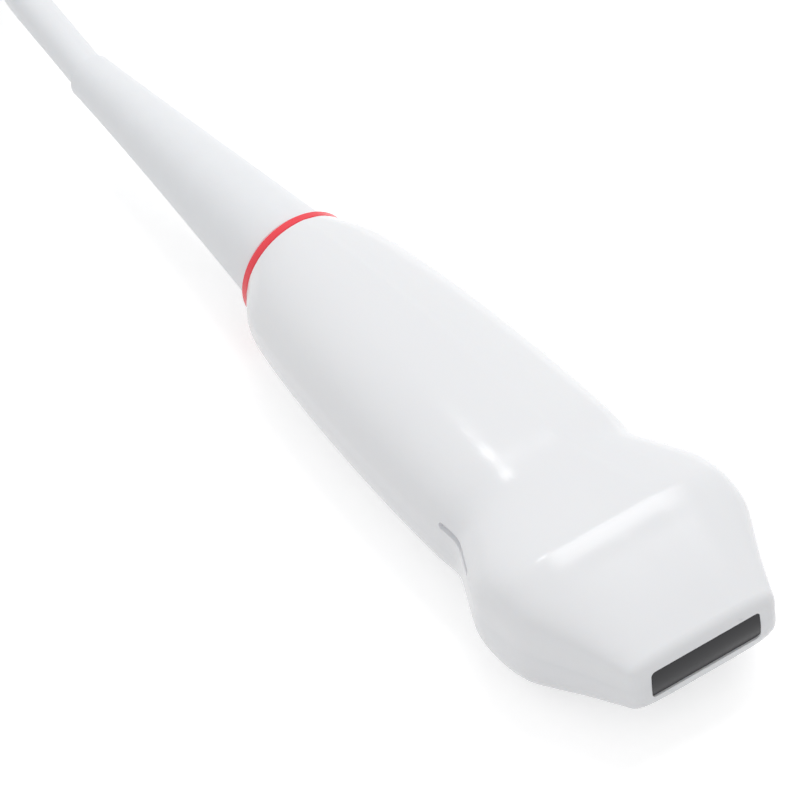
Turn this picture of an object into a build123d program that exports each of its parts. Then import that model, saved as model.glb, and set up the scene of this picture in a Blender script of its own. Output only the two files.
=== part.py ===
from build123d import *
import os
from collections import namedtuple
from math import copysign, cos, pi, radians, sin, tan

# Ultrasound transducer probe, in millimetres. X points out of the lens, Y runs along the
# array and Z is up. The probe lies on its broad face, and distances along the handle are
# measured back from the front face.

# Handle form
HANDLE_LENGTH = 120.0
RIDGE_DISTANCE = 25.5
WAIST_DISTANCE = 44.0
GRIP_DISTANCE = 68.0
FRONT_WIDTH = 29.6
FRONT_THICKNESS = 10.3
FRONT_SQUARENESS = 5.2
FRONT_FLARE = 20.0
FRONT_EDGE_RADIUS = 2.5
FRONT_EDGE_STEPS = 5
HEAD_WIDTH = 49.0
HEAD_THICKNESS = 25.7
HEAD_SQUARENESS = 3.8
WAIST_WIDTH = 39.2
WAIST_THICKNESS = 23.5
WAIST_SQUARENESS = 2.6
GRIP_WIDTH = 38.6
GRIP_THICKNESS = 25.8
GRIP_SQUARENESS = 2.4
NECK_DIAMETER = 22.8
SECTION_COUNT = 40
QUARTER_STEPS = 8

# Handle shells
WALL = 2.0
FRONT_WALL = 1.6
NECK_WALL = 3.0
RIB = 2.0
LIP_WIDTH = 0.8
LIP_HEIGHT = 1.0
INDEX_LENGTH = 12.5
INDEX_HEIGHT = 1.1
INDEX_DEPTH = 0.8
INDEX_DISTANCE = 43.0
INDEX_RISE = 4.2
FIT = 0.05
SLIDE = 0.15

# Marker ring and strain relief
RING_WIDTH = 2.2
RING_DIAMETER = 22.4
RING_EDGE = 0.5
COLLAR_DIAMETER = 18.8
BOOT_NECK_DIAMETER = 14.6
BOOT_FLANGE_THICKNESS = 2.0
BOOT_LENGTH = 64.0
BOOT_BASE_DIAMETER = 19.8
BOOT_TIP_DIAMETER = 8.6
BOOT_BEND = 1.84
BOOT_FLARE = 1.12
BOOT_EDGE = 0.9
BOOT_TIP_EDGE = 0.4

# Acoustic stack
LENS_WIDTH = 22.4
LENS_HEIGHT = 5.9
LENS_CORNER = 0.9
LENS_CROWN = 0.55
LENS_PROUD = 0.15
LENS_FLANGE = 1.0
LENS_FLANGE_THICKNESS = 0.8
MATCHING_THICKNESS = 0.3
ELEMENT_COUNT = 48
ELEMENT_PITCH = 0.43
ELEMENT_KERF = 0.08
ELEMENT_HEIGHT = 5.0
ELEMENT_THICKNESS = 0.5
BACKING_DEPTH = 9.0
CARRIER_WALL = 1.5
CARRIER_FRONT = 5.5
FLEX_THICKNESS = 0.2
FLEX_WIDTH = 19.0
STOP_OVERLAP = 0.8

# Electronics
BOARD_FRONT = 33.0
BOARD_LENGTH = 57.0
BOARD_WIDTH = 24.0
BOARD_THICKNESS = 1.2
SOCKET_LENGTH = 5.0
SOCKET_HEIGHT = 2.0
SHIELD_LENGTH = 36.0
SHIELD_HEIGHT = 13.0
SHIELD_THICKNESS = 0.4
COIL_ROWS = 4
COILS_PER_ROW = 7
COIL_LENGTH = 3.3
COIL_WIDTH = 2.2
COIL_HEIGHT = 1.6
CHIP_SIZE = 9.0
CHIP_HEIGHT = 1.4
FAN_LENGTH = 9.0
FAN_THICKNESS = 1.2
CORE_DIAMETER = 5.6

# Cable clamp in the handle
CLAMP_DISTANCE = 101.0
CLAMP_LENGTH = 8.0
CLAMP_WIDTH = 19.0
CLAMP_HEIGHT = 5.0
CLAMP_SCREW_SPACING = 13.4
SCREW_DIAMETER = 2.0
SCREW_HEAD_DIAMETER = 3.8
SCREW_HEAD_HEIGHT = 1.5
SCREW_LENGTH = 9.0

# Cable and its hank. Offsets run from the tip of the strain relief, or from the hank's last
# turn, and are chosen by hand.
CABLE_DIAMETER = 7.0
TURN_PITCH = 7.1
HANK_RUN = 50.0
INNER_TURN_RADIUS = 21.1
HANK_LAYERS = 4
HANK_Y = -7.2
HANK_ROOM = 0.3
TIE_THICKNESS = 1.0
TIE_WIDTH = 16.0
TO_HANK = [
    (0.0, 0.0, 0.0),
    (-6.0, 0.0, -0.193),
    (-17.0, 1.7, -0.8),
    (-31.0, 5.7, -2.6),
    (-47.0, 12.2, -5.5),
    (-62.5, 17.8, -7.28),
    (-77.0, 21.0, -7.372),
    (-91.0, 21.0, -7.372),
]
TO_PLUG = [
    (0.0, 0.0, 0.0),
    (-9.0, 0.0, 0.0),
    (-19.5, -1.9, 0.0),
    (-30.0, -6.2, 0.0),
    (-40.5, -11.6, -0.7),
    (-51.0, -15.9, -1.7),
    (-61.5, -17.5, -2.1),
    (-71.5, -17.5, -2.1),
]

# Console connector
PLUG_LENGTH = 84.0
PLUG_WIDTH = 60.0
PLUG_CORNER = 9.0
PLUG_WALL = 2.5
SKIRT_DEPTH = 13.0
DECK_THICKNESS = 3.0
COVER_HEIGHT = 26.0
COVER_DRAFT = 2.5
COVER_EDGE_RADIUS = 3.5
CONTACT_BLOCK_LENGTH = 64.0
CONTACT_BLOCK_WIDTH = 40.0
CONTACT_BLOCK_HEIGHT = 5.0
CONTACT_ROWS = 8
CONTACTS_PER_SIDE = 6
CONTACT_COLUMN_PITCH = 3.4
CONTACT_ROW_PITCH = 4.5
CONTACT_SIZE = 1.1
CONTACT_LENGTH = 2.8
PLUG_BOARD_WIDTH = 44.0
PLUG_BOARD_THICKNESS = 1.6
BOSS_DIAMETER = 7.0
BOSS_INSET = 8.0
PLUG_BOOT_LENGTH = 24.0
PLUG_BOOT_BASE_DIAMETER = 15.0
PLUG_BOOT_TIP_DIAMETER = 10.0
PLUG_BOOT_FLANGE = 2.0
PLUG_TAIL = 10.0

# Rotary lock
SHAFT_DIAMETER = 8.0
LOCK_BAR_LENGTH = 18.0
LOCK_BAR_WIDTH = 5.0
LOCK_BAR_HEIGHT = 3.0
LOCK_ROOM = 1.5
BUSH_DIAMETER = 13.0
BUSH_FLANGE_DIAMETER = 18.0
BUSH_FLANGE_THICKNESS = 1.2
KNOB_DIAMETER = 34.0
KNOB_DISC_HEIGHT = 5.0
KNOB_GRIP_LENGTH = 44.0
KNOB_GRIP_WIDTH = 13.0
KNOB_GRIP_HEIGHT = 9.0
KNOB_EDGE_RADIUS = 1.6
CLIP_DIAMETER = 13.0
CLIP_THICKNESS = 1.0
RUNNING_GAP = 0.3
SHAFT_CLEARANCE = 0.06

# Places worked out from the sizes above
FRONT_X = (HANDLE_LENGTH + BOOT_LENGTH) / 2
FLARE_ANGLE = radians(FRONT_FLARE)
EDGE_DISTANCE = FRONT_EDGE_RADIUS * (1 - sin(FLARE_ANGLE))
AXIS_Z = max(GRIP_THICKNESS, HEAD_THICKNESS) / 2
REAR_DISTANCE = HANDLE_LENGTH - RING_WIDTH
CAVITY_REAR = REAR_DISTANCE - NECK_WALL
LENS_BACK = FRONT_WALL + LENS_FLANGE_THICKNESS
ELEMENT_FRONT = LENS_BACK + 2 * MATCHING_THICKNESS
ELEMENT_BACK = ELEMENT_FRONT + ELEMENT_THICKNESS
BACKING_BACK = ELEMENT_BACK + BACKING_DEPTH
CARRIER_BACK = BACKING_BACK + CARRIER_WALL
ARRAY_WIDTH = ELEMENT_COUNT * ELEMENT_PITCH
CARRIER_WIDTH = ARRAY_WIDTH + 2 * (SLIDE + CARRIER_WALL)
CARRIER_HEIGHT = ELEMENT_HEIGHT + 2 * (FLEX_THICKNESS + SLIDE + CARRIER_WALL)
BOARD_BACK = BOARD_FRONT + BOARD_LENGTH
FRONT_REST = BOARD_FRONT + 2 * SOCKET_LENGTH - RIB
REAR_REST = BOARD_BACK - 2 * RIB
SHIELD_FRONT = (FRONT_REST + RIB + REAR_REST - SHIELD_LENGTH) / 2
JACKET_END = BOARD_BACK + FAN_LENGTH
BOOT_ANGLE = radians(BOOT_BEND)
BOOT_RADIUS = BOOT_LENGTH / BOOT_ANGLE
OUTER_TURN_RADIUS = INNER_TURN_RADIUS + TURN_PITCH
HANK_WIDTH = 2 * OUTER_TURN_RADIUS + CABLE_DIAMETER + 2 * HANK_ROOM
HANK_HEIGHT = (HANK_LAYERS - 1) * TURN_PITCH + CABLE_DIAMETER + HANK_ROOM
DECK_TOP = SKIRT_DEPTH + DECK_THICKNESS
COVER_TOP = DECK_TOP + COVER_HEIGHT
CONTACT_FACE = SKIRT_DEPTH - CONTACT_BLOCK_HEIGHT
CONTACT_END = CONTACT_FACE - CONTACT_LENGTH
PLUG_BOARD_LENGTH = PLUG_LENGTH - 2 * BOSS_INSET - BOSS_DIAMETER - 2 * SLIDE
BUSH_TOP = COVER_TOP + BUSH_FLANGE_THICKNESS
KNOB_BASE = BUSH_TOP + RUNNING_GAP
KNOB_TOP = KNOB_BASE + KNOB_DISC_HEIGHT + KNOB_GRIP_HEIGHT

Section = namedtuple("Section", "distance width thickness squareness")


def mix(start, end, share):
    """The value a given share of the way from start to end."""
    return start + (end - start) * share


def flared(distance):
    """The section just behind the front face, where the sides still run straight."""
    growth = 2 * distance * tan(FLARE_ANGLE)
    return Section(distance, FRONT_WIDTH + growth, FRONT_THICKNESS + growth, FRONT_SQUARENESS)


# Stations of the handle from the front face back to the neck. The shares set how fast the
# form swells between the sizes that are named above.
STATIONS = [
    flared(EDGE_DISTANCE),
    Section(
        mix(0, RIDGE_DISTANCE, 0.36),
        mix(FRONT_WIDTH, HEAD_WIDTH, 0.39),
        mix(FRONT_THICKNESS, HEAD_THICKNESS, 0.4),
        mix(FRONT_SQUARENESS, HEAD_SQUARENESS, 0.55),
    ),
    Section(
        mix(0, RIDGE_DISTANCE, 0.76),
        mix(FRONT_WIDTH, HEAD_WIDTH, 0.9),
        mix(FRONT_THICKNESS, HEAD_THICKNESS, 0.81),
        mix(FRONT_SQUARENESS, HEAD_SQUARENESS, 0.88),
    ),
    Section(
        mix(0, RIDGE_DISTANCE, 0.9),
        mix(FRONT_WIDTH, HEAD_WIDTH, 0.965),
        mix(FRONT_THICKNESS, HEAD_THICKNESS, 0.95),
        mix(FRONT_SQUARENESS, HEAD_SQUARENESS, 0.96),
    ),
    Section(RIDGE_DISTANCE, mix(FRONT_WIDTH, HEAD_WIDTH, 0.985), HEAD_THICKNESS, HEAD_SQUARENESS),
    Section(
        mix(RIDGE_DISTANCE, WAIST_DISTANCE, 0.32),
        HEAD_WIDTH,
        mix(HEAD_THICKNESS, WAIST_THICKNESS, 0.42),
        mix(HEAD_SQUARENESS, WAIST_SQUARENESS, 0.4),
    ),
    Section(
        mix(RIDGE_DISTANCE, WAIST_DISTANCE, 0.68),
        mix(HEAD_WIDTH, WAIST_WIDTH, 0.54),
        mix(HEAD_THICKNESS, WAIST_THICKNESS, 0.95),
        mix(HEAD_SQUARENESS, WAIST_SQUARENESS, 0.65),
    ),
    Section(WAIST_DISTANCE, WAIST_WIDTH, WAIST_THICKNESS, WAIST_SQUARENESS),
    Section(
        mix(WAIST_DISTANCE, GRIP_DISTANCE, 0.33),
        mix(WAIST_WIDTH, GRIP_WIDTH, -0.4),
        mix(WAIST_THICKNESS, GRIP_THICKNESS, 0.55),
        mix(WAIST_SQUARENESS, GRIP_SQUARENESS, 0.4),
    ),
    Section(GRIP_DISTANCE, GRIP_WIDTH, GRIP_THICKNESS, GRIP_SQUARENESS),
    Section(
        mix(GRIP_DISTANCE, REAR_DISTANCE, 0.4),
        mix(GRIP_WIDTH, NECK_DIAMETER, 0.165),
        mix(GRIP_THICKNESS, NECK_DIAMETER, 0.08),
        mix(GRIP_SQUARENESS, 2, 0.25),
    ),
    Section(
        mix(GRIP_DISTANCE, REAR_DISTANCE, 0.72),
        mix(GRIP_WIDTH, NECK_DIAMETER, 0.38),
        mix(GRIP_THICKNESS, NECK_DIAMETER, 0.38),
        mix(GRIP_SQUARENESS, 2, 0.65),
    ),
    Section(
        mix(GRIP_DISTANCE, REAR_DISTANCE, 0.9),
        mix(GRIP_WIDTH, NECK_DIAMETER, 0.61),
        mix(GRIP_THICKNESS, NECK_DIAMETER, 0.68),
        mix(GRIP_SQUARENESS, 2, 0.9),
    ),
    Section(REAR_DISTANCE, NECK_DIAMETER, NECK_DIAMETER, 2),
]


def slope(index, field):
    """How fast one size of the form changes with distance at a station."""
    before = STATIONS[max(index - 1, 0)]
    after = STATIONS[min(index + 1, len(STATIONS) - 1)]
    return (after[field] - before[field]) / (after.distance - before.distance)


def section_at(distance):
    """The cross-section at a distance, on smooth curves through the stations."""
    index = max(i for i in range(len(STATIONS) - 1) if STATIONS[i].distance <= distance)
    before, after = STATIONS[index], STATIONS[index + 1]
    span = after.distance - before.distance
    t = (distance - before.distance) / span
    sizes = []
    for field in (1, 2, 3):
        ease = 3 * t**2 - 2 * t**3
        swell = mix(before[field], after[field], ease)
        swell += span * (t**3 - 2 * t**2 + t) * slope(index, field)
        sizes.append(swell + span * (t**3 - t**2) * slope(index + 1, field))
    return Section(distance, *sizes)


def sections(front, back):
    """Evenly spaced cross-sections from one distance to another."""
    shares = [step / (SECTION_COUNT - 1) for step in range(SECTION_COUNT)]
    return [section_at(mix(front, back, share)) for share in shares]


def behind(distance):
    """X of a point that far behind the front face."""
    return FRONT_X - distance


def block(x_range, y_range, z_range):
    """A box between three pairs of limits."""
    sizes = [high - low for low, high in (x_range, y_range, z_range)]
    centre = [(low + high) / 2 for low, high in (x_range, y_range, z_range)]
    return Pos(*centre) * Box(*sizes)


def slab(front, back, y_range, z_range):
    """A box between two distances behind the front face, placed about the handle's axis."""
    return block((behind(back), behind(front)), y_range, (AXIS_Z + z_range[0], AXIS_Z + z_range[1]))


def across(distance):
    """The plane across the handle at a distance, with its x along Y and its y along Z."""
    return Plane(origin=(behind(distance), 0, AXIS_Z), x_dir=(0, 1, 0), z_dir=(1, 0, 0))


def prism(outline, front, back):
    """A cross-section outline carried from one distance to another."""
    return extrude(across(back) * outline, back - front)


def section_face(section, inset):
    """One cross-section: an ellipse that squares off as its squareness grows past two."""
    power = 2 / section.squareness
    quarters = []
    for quarter in range(4):
        turns = [pi / 2 * (quarter + step / QUARTER_STEPS) for step in range(QUARTER_STEPS + 1)]
        points = []
        for turn in turns:
            along, up = round(cos(turn), 9), round(sin(turn), 9)
            wide = copysign(abs(along) ** power, along) * (section.width / 2 - inset)
            high = copysign(abs(up) ** power, up) * (section.thickness / 2 - inset)
            points.append((behind(section.distance), wide, AXIS_Z + high))
        ends = [(0, -sin(turn), cos(turn)) for turn in (turns[0], turns[-1])]
        quarters.append(Edge.make_spline(points, tangents=ends))
    return Face(Wire(quarters))


def handle_form(inset, front=EDGE_DISTANCE, back=REAR_DISTANCE):
    """The handle's solid form between two distances, drawn in on all sides by an inset."""
    return loft([section_face(section, inset) for section in sections(front, back)])


def rounded_front():
    """The last bit of the form, where the flat front face rolls over into the flared sides."""
    rings = []
    for step in range(FRONT_EDGE_STEPS + 1):
        turn = (pi / 2 - FLARE_ANGLE) * step / FRONT_EDGE_STEPS
        roll = 1 / cos(FLARE_ANGLE) - tan(FLARE_ANGLE) * cos(turn) - sin(turn)
        section = flared(FRONT_EDGE_RADIUS * (1 - cos(turn)))
        rings.append(section_face(section, FRONT_EDGE_RADIUS * roll))
    return loft(rings)


def everywhere(z_range):
    """A box round the whole handle between two heights about its axis."""
    reach = max(HEAD_WIDTH, GRIP_WIDTH)
    return slab(-HANDLE_LENGTH, 2 * HANDLE_LENGTH, (-reach, reach), z_range)


def lip(side, room):
    """The strip along one seam that stands down from the top shell, grown by some room."""
    half = LIP_WIDTH / 2 + room
    lines = []
    for inset in (WALL / 2 - half, WALL / 2 + half):
        seam = sections(CARRIER_FRONT - room, CAVITY_REAR + room)
        points = [(behind(s.distance), side * (s.width / 2 - inset), AXIS_Z) for s in seam]
        lines.append(Spline(*points))
    outer, inner = lines
    ends = [Line(outer @ 0, inner @ 0), Line(outer @ 1, inner @ 1)]
    return extrude(make_face(Curve() + [outer, inner] + ends), LIP_HEIGHT + room, dir=(0, 0, -1))


def clamp_screw_places():
    """Centres of the two clamp screws."""
    x = behind(CLAMP_DISTANCE + CLAMP_LENGTH / 2)
    return [(x, side * CLAMP_SCREW_SPACING / 2) for side in (-1, 1)]


def cable_bore(room):
    """A straight bore for the cable through the clamp."""
    return prism(Circle(CABLE_DIAMETER / 2 + room), CLAMP_DISTANCE, CLAMP_DISTANCE + CLAMP_LENGTH)


def inner_ribs():
    """What stands up inside the shells: the stack's stop, the board's rests and the cable's cradle."""
    reach = (-HEAD_WIDTH, HEAD_WIDTH)
    high = HEAD_THICKNESS
    stop = slab(CARRIER_BACK, CARRIER_BACK + RIB, reach, (-high, high))
    stop -= slab(
        CARRIER_FRONT,
        CARRIER_BACK + 2 * RIB,
        (STOP_OVERLAP - CARRIER_WIDTH / 2, CARRIER_WIDTH / 2 - STOP_OVERLAP),
        (STOP_OVERLAP - CARRIER_HEIGHT / 2, CARRIER_HEIGHT / 2 - STOP_OVERLAP),
    )
    ribs = [stop]
    for rest in (FRONT_REST, REAR_REST):
        ribs.append(slab(rest, rest + RIB, reach, (BOARD_THICKNESS / 2, high)))
        ribs.append(slab(rest, rest + RIB, reach, (-high, -BOARD_THICKNESS / 2)))
    half = CLAMP_WIDTH / 2
    cradle = slab(CLAMP_DISTANCE, CLAMP_DISTANCE + CLAMP_LENGTH, (-half, half), (-high, 0))
    cradle -= cable_bore(FIT)
    for x, y in clamp_screw_places():
        depth = SCREW_LENGTH - CLAMP_HEIGHT + FIT
        pilot = Cylinder(SCREW_DIAMETER / 2 + FIT, depth, align=(Align.CENTER, Align.CENTER, Align.MAX))
        cradle -= Pos(x, y, AXIS_Z) * pilot
    return ribs + [cradle]


def index_groove():
    """The slot that marks one side of the array, sunk to an even depth in the curved wall."""
    slot = Plane.XZ * Pos(behind(INDEX_DISTANCE), AXIS_Z + INDEX_RISE)
    slot *= SlotOverall(INDEX_LENGTH, INDEX_HEIGHT)
    front = INDEX_DISTANCE - INDEX_LENGTH
    back = INDEX_DISTANCE + INDEX_LENGTH
    return extrude(slot, HEAD_WIDTH, dir=(0, -1, 0)) - handle_form(INDEX_DEPTH, front, back)


def housing():
    """The two moulded half shells, split at the mid-plane."""
    hollow = handle_form(WALL, CARRIER_FRONT, CAVITY_REAR) - inner_ribs()
    flange_room = LENS_FLANGE + FIT
    seat = RectangleRounded(LENS_WIDTH + 2 * flange_room, LENS_HEIGHT + 2 * flange_room, LENS_CORNER)
    window = RectangleRounded(LENS_WIDTH, LENS_HEIGHT, LENS_CORNER)
    shell = handle_form(0) - [hollow, index_groove()]
    shell += [rounded_front(), prism(Circle(COLLAR_DIAMETER / 2), REAR_DISTANCE, HANDLE_LENGTH)]
    shell -= [
        prism(seat, FRONT_WALL, CARRIER_FRONT),
        prism(window, -RIB, FRONT_WALL),
        prism(Circle(BOOT_NECK_DIAMETER / 2 + FIT), CAVITY_REAR, HANDLE_LENGTH),
    ]
    top = shell & everywhere((0, HEAD_THICKNESS))
    bottom = shell & everywhere((-HEAD_THICKNESS, 0))
    return top + [lip(-1, 0), lip(1, 0)], bottom - [lip(-1, FIT), lip(1, FIT)]


def cable_clamp():
    """The bridge that holds the cable down on its cradle."""
    half = CLAMP_WIDTH / 2
    bridge = slab(CLAMP_DISTANCE, CLAMP_DISTANCE + CLAMP_LENGTH, (-half, half), (0, CLAMP_HEIGHT))
    bridge = chamfer(bridge.edges().filter_by(Axis.X).group_by(Axis.Z)[-1], RIB / 2)
    bridge -= cable_bore(FIT)
    for x, y in clamp_screw_places():
        bridge -= Pos(x, y, AXIS_Z + CLAMP_HEIGHT / 2) * Cylinder(SCREW_DIAMETER / 2 + FIT, CLAMP_HEIGHT)
    return bridge


def screw(x, y, z, up):
    """A plain-headed screw whose head seats at z; its shank runs away from up."""
    shank_align = Align.MAX if up > 0 else Align.MIN
    head_align = Align.MIN if up > 0 else Align.MAX
    shank = Cylinder(SCREW_DIAMETER / 2, SCREW_LENGTH, align=(Align.CENTER, Align.CENTER, shank_align))
    head = Cylinder(
        SCREW_HEAD_DIAMETER / 2, SCREW_HEAD_HEIGHT, align=(Align.CENTER, Align.CENTER, head_align)
    )
    return Pos(x, y, z) * (head + shank)


def marker_ring():
    """The coloured ring that slips over the collar and closes the two shells at the neck."""
    outline = Circle(RING_DIAMETER / 2) - Circle(COLLAR_DIAMETER / 2 + FIT)
    ring = prism(outline, REAR_DISTANCE, HANDLE_LENGTH)
    return chamfer(ring.edges().group_by(SortBy.LENGTH)[-1], RING_EDGE)


def boot_point(share):
    """A point on the strain relief's drooping centre line."""
    turn = BOOT_ANGLE * share
    return Vector(
        behind(HANDLE_LENGTH) - BOOT_RADIUS * sin(turn), 0, AXIS_Z - BOOT_RADIUS * (1 - cos(turn))
    )


def boot_plane(share):
    """The plane across the strain relief there, facing back along the cable."""
    turn = BOOT_ANGLE * share
    return Plane(origin=boot_point(share), x_dir=(0, 1, 0), z_dir=(-cos(turn), 0, -sin(turn)))


def boot_core(radius):
    """A round bar along the whole strain relief, from its base to its tip."""
    path = ThreePointArc(boot_point(0), boot_point(0.5), boot_point(1))
    return sweep(boot_plane(0) * Circle(radius), path=path)


def strain_relief():
    """The tapered boot, its neck through the collar and the flange that the shells trap."""
    stations = [BOOT_EDGE / BOOT_LENGTH, 0.12, 0.26, 0.42, 0.6, 0.8, 1 - BOOT_TIP_EDGE / BOOT_LENGTH]
    swell = (BOOT_BASE_DIAMETER - BOOT_TIP_DIAMETER) / 2
    rings = [boot_plane(0) * Circle(BOOT_BASE_DIAMETER / 2 - BOOT_EDGE)]
    for share in stations:
        radius = BOOT_TIP_DIAMETER / 2 + swell * (1 - share) ** BOOT_FLARE
        rings.append(boot_plane(share) * Circle(radius))
    rings.append(boot_plane(1) * Circle(BOOT_TIP_DIAMETER / 2 - BOOT_TIP_EDGE))
    cone = loft(rings[1:-1])
    base = loft(rings[:2])
    tip = loft(rings[-2:])
    flange_radius = NECK_DIAMETER / 2 - WALL - SLIDE
    neck = prism(Circle(BOOT_NECK_DIAMETER / 2), CAVITY_REAR, HANDLE_LENGTH)
    flange = prism(Circle(flange_radius), CAVITY_REAR - BOOT_FLANGE_THICKNESS, CAVITY_REAR)
    bore = prism(Circle(CABLE_DIAMETER / 2 + FIT), CAVITY_REAR - BOOT_FLANGE_THICKNESS, HANDLE_LENGTH)
    return cone + base + tip + neck + flange - bore - boot_core(CABLE_DIAMETER / 2 + FIT)


def cable_end():
    """The cable's own end, through the strain relief and under the clamp."""
    return prism(Circle(CABLE_DIAMETER / 2), JACKET_END, HANDLE_LENGTH) + boot_core(CABLE_DIAMETER / 2)


def acoustic_lens():
    """The silicone lens: a crowned bar through the window, with a flange behind it."""
    bar = RectangleRounded(LENS_WIDTH - 2 * FIT, LENS_HEIGHT - 2 * FIT, LENS_CORNER - FIT)
    radius = ((LENS_HEIGHT / 2) ** 2 + LENS_CROWN**2) / (2 * LENS_CROWN)
    crown = Pos(behind(-LENS_PROUD) - radius, 0, AXIS_Z) * Rot(90, 0, 0) * Cylinder(radius, LENS_WIDTH)
    flange = RectangleRounded(LENS_WIDTH + 2 * LENS_FLANGE, LENS_HEIGHT + 2 * LENS_FLANGE, LENS_CORNER)
    return (prism(bar, -LENS_PROUD, FRONT_WALL) & crown) + prism(flange, FRONT_WALL, LENS_BACK)


def matching_layer(front):
    """One of the two thin layers that couple the elements to the lens."""
    return prism(Rectangle(ARRAY_WIDTH, ELEMENT_HEIGHT), front, front + MATCHING_THICKNESS)


def element_array():
    """The row of diced piezo elements, parted by saw kerfs."""
    width = ELEMENT_PITCH - ELEMENT_KERF
    half = ELEMENT_HEIGHT / 2
    elements = []
    for index in range(ELEMENT_COUNT):
        y = (index - (ELEMENT_COUNT - 1) / 2) * ELEMENT_PITCH
        elements.append(slab(ELEMENT_FRONT, ELEMENT_BACK, (y - width / 2, y + width / 2), (-half, half)))
    return Compound(elements)


def backing_block():
    """The damping block behind the elements."""
    return prism(Rectangle(ARRAY_WIDTH, ELEMENT_HEIGHT), ELEMENT_BACK, BACKING_BACK)


def array_carrier():
    """The cup that holds the backing block, with slots for the two flex circuits."""
    room_height = CARRIER_HEIGHT - 2 * CARRIER_WALL
    outline = RectangleRounded(CARRIER_WIDTH, CARRIER_HEIGHT, CARRIER_WALL / 2)
    cup = prism(outline, CARRIER_FRONT, CARRIER_BACK)
    cup -= prism(Rectangle(CARRIER_WIDTH - 2 * CARRIER_WALL, room_height), CARRIER_FRONT, BACKING_BACK)
    for side in (-1, 1):
        slot_middle = side * (ELEMENT_HEIGHT / 2 + FLEX_THICKNESS / 2)
        half = FLEX_THICKNESS / 2 + SLIDE
        width = FLEX_WIDTH / 2 + SLIDE
        cup -= slab(BACKING_BACK, CARRIER_BACK, (-width, width), (slot_middle - half, slot_middle + half))
    return cup


def flex_circuit(side):
    """The flex circuit from one edge of the elements to its socket on the board."""
    leave = ELEMENT_HEIGHT / 2 + FLEX_THICKNESS / 2
    arrive = BOARD_THICKNESS / 2 + SOCKET_HEIGHT / 2
    route = [
        (ELEMENT_FRONT, leave),
        (CARRIER_BACK + RIB, leave),
        (BOARD_FRONT - RIB, arrive),
        (BOARD_FRONT + SOCKET_LENGTH / 5, arrive),
    ]
    upper = [(behind(d), 0, AXIS_Z + side * (rise + FLEX_THICKNESS / 2)) for d, rise in route]
    lower = [(behind(d), 0, AXIS_Z + side * (rise - FLEX_THICKNESS / 2)) for d, rise in route]
    profile = make_face(Polyline(*upper, *reversed(lower), close=True))
    return extrude(profile, FLEX_WIDTH / 2, both=True, dir=(0, 1, 0))


def flex_sockets():
    """The two sockets that take the flex circuits, above and below the board."""
    wide = FLEX_WIDTH / 2 + SLIDE
    body = wide + RIB / 2
    front = BOARD_FRONT + SOCKET_LENGTH / 5
    sockets = []
    for side in (-1, 1):
        near = side * BOARD_THICKNESS / 2
        far = side * (BOARD_THICKNESS / 2 + SOCKET_HEIGHT)
        heights = (min(near, far), max(near, far))
        sockets.append(slab(front, front + SOCKET_LENGTH, (-body, body), heights))
    return Compound(sockets)


def interconnect_board():
    """The board between the flex circuits and the cable's cores."""
    board = Rectangle(BOARD_LENGTH, BOARD_WIDTH)
    board = chamfer(board.vertices(), RIB / 2)
    middle = behind((BOARD_FRONT + BOARD_BACK) / 2)
    return extrude(Pos(middle, 0, AXIS_Z - BOARD_THICKNESS / 2) * board, BOARD_THICKNESS)


def tuning_coils():
    """Rows of small coils on top of the board, inside the shield."""
    coils = []
    column_pitch = (BOARD_WIDTH - 2 * COIL_WIDTH) / COILS_PER_ROW
    row_pitch = SHIELD_LENGTH / (COIL_ROWS + 1)
    for row in range(COIL_ROWS):
        for column in range(COILS_PER_ROW):
            y = (column - (COILS_PER_ROW - 1) / 2) * column_pitch
            x = behind(SHIELD_FRONT + (row + 1) * row_pitch)
            z = AXIS_Z + BOARD_THICKNESS / 2 + COIL_HEIGHT / 2
            coils.append(Pos(x, y, z) * Box(COIL_LENGTH, COIL_WIDTH, COIL_HEIGHT))
    return Compound(coils)


def signal_chips():
    """The two chips under the board."""
    chips = []
    for share in (0.27, 0.73):
        x = behind(SHIELD_FRONT + SHIELD_LENGTH * share)
        z = AXIS_Z - BOARD_THICKNESS / 2 - CHIP_HEIGHT / 2
        chips.append(Pos(x, 0, z) * Box(CHIP_SIZE, CHIP_SIZE, CHIP_HEIGHT))
    return Compound(chips)


def shield_sleeve():
    """The folded screening sleeve round the board."""
    width = BOARD_WIDTH + 2 * SLIDE
    inner = RectangleRounded(width, SHIELD_HEIGHT, RIB)
    outer = RectangleRounded(width + 2 * SHIELD_THICKNESS, SHIELD_HEIGHT + 2 * SHIELD_THICKNESS, RIB)
    return prism(outer - inner, SHIELD_FRONT, SHIELD_FRONT + SHIELD_LENGTH)


def coax_fan():
    """The cable's cores, fanned out flat to the board's rear edge."""
    flat = across(BOARD_BACK) * Rectangle(BOARD_WIDTH - 2 * RIB, FAN_THICKNESS)
    round_end = across(JACKET_END) * Circle(CORE_DIAMETER / 2)
    return loft([flat, round_end])


def cable_tube(start, offsets):
    """A cable along hand-chosen points, with each bend as wide as its runs allow."""
    points = [start + Vector(*offset) for offset in offsets]
    runs = [after - before for before, after in zip(points, points[1:])]
    radii = []
    for run, following in zip(runs, runs[1:]):
        half_turn = radians(run.get_angle(following)) / 2
        radii.append(0.45 * min(run.length, following.length) / tan(half_turn))
    path = FilletPolyline(*points, radius=radii)
    tube = sweep(Plane(origin=path @ 0, z_dir=path % 0) * Circle(CABLE_DIAMETER / 2), path=path)
    print("bend radii", [round(radius) for radius in radii])
    print("volume share", round(tube.volume / (pi * CABLE_DIAMETER**2 / 4 * path.length), 3))
    return tube


def hank_places():
    """X where the hank's straight runs start and end, and the height of its first turns."""
    run_start = boot_point(1).X + TO_HANK[-1][0]
    first_height = boot_point(1).Z + TO_HANK[-1][2]
    return run_start, run_start - HANK_RUN, first_height


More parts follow.
